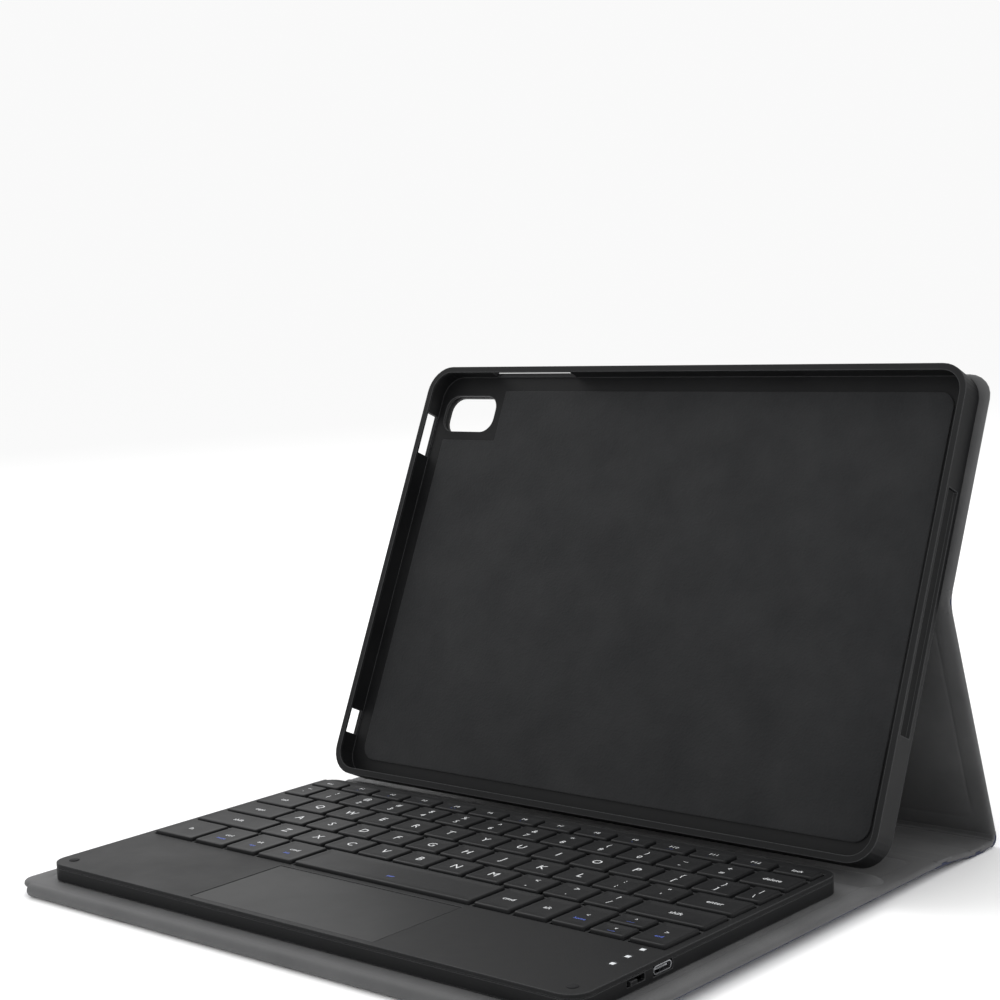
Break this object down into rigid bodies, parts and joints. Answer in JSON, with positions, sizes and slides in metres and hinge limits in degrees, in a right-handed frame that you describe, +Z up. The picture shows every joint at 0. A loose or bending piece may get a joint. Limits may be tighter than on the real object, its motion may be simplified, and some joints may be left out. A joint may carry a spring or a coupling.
{
  "type": "tablet keyboard case",
  "caption": "Folio case with a snap-in tablet tray, a folding stand, a magnetic closing flap and a detachable wireless keyboard with touchpad.",
  "frame": {"origin": "centre of the footprint in the typing position, on the surface the case stands on", "axes": "+X to the user's right along the keyboard rows, +Y away from the user, +Z up"},
  "size_m": [0.26, 0.2386, 0.1729],
  "materials": {
    "navy_leather": "fine-grained, satin",
    "grey_board": "matte",
    "grey_lining": "matte",
    "black_plastic": "fine-textured matte",
    "key_plastic": "satin",
    "felt": "brushed",
    "steel": "brushed",
    "magnet": "plated",
    "foil": "foil",
    "circuit": "solder mask",
    "membrane_rubber": "matte",
    "light_guide": "clear, gloss"
  },
  "bodies": {
    "base": {"base_board": "grey_board", "base_leather": "navy_leather", "base_lining": "grey_lining", "base_magnet_bar": "magnet", "base_rear_padding": "grey_lining"},
    "spine": {"spine_board": "grey_board", "spine_leather": "navy_leather", "spine_lining": "grey_lining"},
    "heel": {"heel_leather": "navy_leather", "heel_lining": "grey_lining"},
    "stand": {"stand_board": "grey_board", "stand_leather": "navy_leather", "stand_lining": "grey_lining"},
    "upper": {"upper_board": "grey_board", "upper_leather": "navy_leather", "upper_lining": "grey_lining", "tray_shell": "black_plastic", "tray_felt_pad": "felt"},
    "edge_strip": {"edge_strip_board": "grey_board", "edge_strip_leather": "navy_leather", "edge_strip_lining": "grey_lining"},
    "flap": {"flap_board": "grey_board", "flap_leather": "navy_leather", "flap_lining": "grey_lining"},
    "keyboard": {"keyboard_deck": "black_plastic", "keyboard_bottom_shell": "black_plastic", "key_membrane": "membrane_rubber", "circuit_board": "circuit", "battery_cell": "foil", "keyboard_magnet_bar": "magnet", "usb_socket": "steel", "indicator_light_guide": "light_guide"},
    "touchpad": {"touchpad_plate": "black_plastic"},
    "power_switch": {"power_switch_knob": "black_plastic"},
    "key_alt_left": {"key_alt_left": "key_plastic"},
    "key_alt_right": {"key_alt_right": "key_plastic"},
    "key_backslash": {"key_backslash": "key_plastic"},
    "key_backspace": {"key_backspace": "key_plastic"},
    "key_bottom_row": {"key_bottom_row": "key_plastic"},
    "key_caps": {"key_caps": "key_plastic"},
    "key_cmd_left": {"key_cmd_left": "key_plastic"},
    "key_cmd_right": {"key_cmd_right": "key_plastic"},
    "key_ctrl": {"key_ctrl": "key_plastic"},
    "key_down": {"key_down": "key_plastic"},
    "key_enter": {"key_enter": "key_plastic"},
    "key_escape": {"key_escape": "key_plastic"},
    "key_fn": {"key_fn": "key_plastic"},
    "key_function_row": {"key_function_row": "key_plastic"},
    "key_grave": {"key_grave": "key_plastic"},
    "key_home_row": {"key_home_row": "key_plastic"},
    "key_left": {"key_left": "key_plastic"},
    "key_lock": {"key_lock": "key_plastic"},
    "key_number_row": {"key_number_row": "key_plastic"},
    "key_right": {"key_right": "key_plastic"},
    "key_shift_left": {"key_shift_left": "key_plastic"},
    "key_shift_right": {"key_shift_right": "key_plastic"},
    "key_space": {"key_space": "key_plastic"},
    "key_tab": {"key_tab": "key_plastic"},
    "key_up": {"key_up": "key_plastic"},
    "key_upper_row": {"key_upper_row": "key_plastic"}
  },
  "joints": [
    {"name": "case_fold_spine", "type": "hinge", "parent": "base", "child": "spine", "pos_m": [0, 0.07598, 0.0039], "axis": [1, 0, 0], "range_deg": [0, 96.27], "deforming": ["base_rear_padding"]},
    {"name": "case_fold_heel", "type": "hinge", "parent": "spine", "child": "heel", "pos_m": [0, 0.09984, 0.0013], "axis": [1, 0, 0], "range_deg": [0, 81.83]},
    {"name": "case_fold_stand", "type": "hinge", "parent": "heel", "child": "stand", "pos_m": [0, 0.11384, 0.00179], "axis": [1, 0, 0], "range_deg": [-106.55, 0]},
    {"name": "case_fold", "type": "hinge", "parent": "stand", "child": "upper", "pos_m": [0, 0.08337, 0.09283], "axis": [1, 0, 0], "range_deg": [0, 43.3]},
    {"name": "edge_wrap", "type": "hinge", "parent": "base", "child": "edge_strip", "pos_m": [0, -0.11951, 0.00245], "axis": [-1, 0, 0], "range_deg": [0, 270]},
    {"name": "flap_fold", "type": "hinge", "parent": "edge_strip", "child": "flap", "pos_m": [0, -0.09131, 0.00115], "axis": [-1, 0, 0], "range_deg": [0, 90]},
    {"name": "keyboard_lift", "type": "slide", "parent": "base", "child": "keyboard", "axis": [0, 0, -1], "range_m": [-0.04, 0]},
    {"name": "key_alt_left", "type": "slide", "parent": "keyboard", "child": "key_alt_left", "axis": [0, 0, -1], "range_m": [0, 0.0013], "stiffness_N_per_m": 250},
    {"name": "key_alt_right", "type": "slide", "parent": "keyboard", "child": "key_alt_right", "axis": [0, 0, -1], "range_m": [0, 0.0013], "stiffness_N_per_m": 250},
    {"name": "key_backslash", "type": "slide", "parent": "keyboard", "child": "key_backslash", "axis": [0, 0, -1], "range_m": [0, 0.0013], "stiffness_N_per_m": 250},
    {"name": "key_backspace", "type": "slide", "parent": "keyboard", "child": "key_backspace", "axis": [0, 0, -1], "range_m": [0, 0.0013], "stiffness_N_per_m": 250},
    {"name": "key_bottom_row", "type": "slide", "parent": "keyboard", "child": "key_bottom_row", "axis": [0, 0, -1], "range_m": [0, 0.0013], "stiffness_N_per_m": 250},
    {"name": "key_caps", "type": "slide", "parent": "keyboard", "child": "key_caps", "axis": [0, 0, -1], "range_m": [0, 0.0013], "stiffness_N_per_m": 250},
    {"name": "key_cmd_left", "type": "slide", "parent": "keyboard", "child": "key_cmd_left", "axis": [0, 0, -1], "range_m": [0, 0.0013], "stiffness_N_per_m": 250},
    {"name": "key_cmd_right", "type": "slide", "parent": "keyboard", "child": "key_cmd_right", "axis": [0, 0, -1], "range_m": [0, 0.0013], "stiffness_N_per_m": 250},
    {"name": "key_ctrl", "type": "slide", "parent": "keyboard", "child": "key_ctrl", "axis": [0, 0, -1], "range_m": [0, 0.0013], "stiffness_N_per_m": 250},
    {"name": "key_down", "type": "slide", "parent": "keyboard", "child": "key_down", "axis": [0, 0, -1], "range_m": [0, 0.0013], "stiffness_N_per_m": 250},
    {"name": "key_enter", "type": "slide", "parent": "keyboard", "child": "key_enter", "axis": [0, 0, -1], "range_m": [0, 0.0013], "stiffness_N_per_m": 250},
    {"name": "key_escape", "type": "slide", "parent": "keyboard", "child": "key_escape", "axis": [0, 0, -1], "range_m": [0, 0.0013], "stiffness_N_per_m": 250},
    {"name": "key_fn", "type": "slide", "parent": "keyboard", "child": "key_fn", "axis": [0, 0, -1], "range_m": [0, 0.0013], "stiffness_N_per_m": 250},
    {"name": "key_function_row", "type": "slide", "parent": "keyboard", "child": "key_function_row", "axis": [0, 0, -1], "range_m": [0, 0.0013], "stiffness_N_per_m": 250},
    {"name": "key_grave", "type": "slide", "parent": "keyboard", "child": "key_grave", "axis": [0, 0, -1], "range_m": [0, 0.0013], "stiffness_N_per_m": 250},
    {"name": "key_home_row", "type": "slide", "parent": "keyboard", "child": "key_home_row", "axis": [0, 0, -1], "range_m": [0, 0.0013], "stiffness_N_per_m": 250},
    {"name": "key_left", "type": "slide", "parent": "keyboard", "child": "key_left", "axis": [0, 0, -1], "range_m": [0, 0.0013], "stiffness_N_per_m": 250},
    {"name": "key_lock", "type": "slide", "parent": "keyboard", "child": "key_lock", "axis": [0, 0, -1], "range_m": [0, 0.0013], "stiffness_N_per_m": 250},
    {"name": "key_number_row", "type": "slide", "parent": "keyboard", "child": "key_number_row", "axis": [0, 0, -1], "range_m": [0, 0.0013], "stiffness_N_per_m": 250},
    {"name": "key_right", "type": "slide", "parent": "keyboard", "child": "key_right", "axis": [0, 0, -1], "range_m": [0, 0.0013], "stiffness_N_per_m": 250},
    {"name": "key_shift_left", "type": "slide", "parent": "keyboard", "child": "key_shift_left", "axis": [0, 0, -1], "range_m": [0, 0.0013], "stiffness_N_per_m": 250},
    {"name": "key_shift_right", "type": "slide", "parent": "keyboard", "child": "key_shift_right", "axis": [0, 0, -1], "range_m": [0, 0.0013], "stiffness_N_per_m": 250},
    {"name": "key_space", "type": "slide", "parent": "keyboard", "child": "key_space", "axis": [0, 0, -1], "range_m": [0, 0.0013], "stiffness_N_per_m": 250},
    {"name": "key_tab", "type": "slide", "parent": "keyboard", "child": "key_tab", "axis": [0, 0, -1], "range_m": [0, 0.0013], "stiffness_N_per_m": 250},
    {"name": "key_up", "type": "slide", "parent": "keyboard", "child": "key_up", "axis": [0, 0, -1], "range_m": [0, 0.0013], "stiffness_N_per_m": 250},
    {"name": "key_upper_row", "type": "slide", "parent": "keyboard", "child": "key_upper_row", "axis": [0, 0, -1], "range_m": [0, 0.0013], "stiffness_N_per_m": 250},
    {"name": "power_switch", "type": "slide", "parent": "keyboard", "child": "power_switch", "axis": [0, 1, 0], "range_m": [0, 0.003]},
    {"name": "touchpad_click", "type": "slide", "parent": "keyboard", "child": "touchpad", "axis": [0, 0, -1], "range_m": [0, 0.0004], "stiffness_N_per_m": 1500}
  ],
  "couplings": [
    {"joint": "case_fold_spine", "follows": "case_fold", "ratio": 2.2222},
    {"joint": "case_fold_heel", "follows": "case_fold", "ratio": 1.8887},
    {"joint": "case_fold_stand", "follows": "case_fold", "ratio": -2.4596}
  ]
}
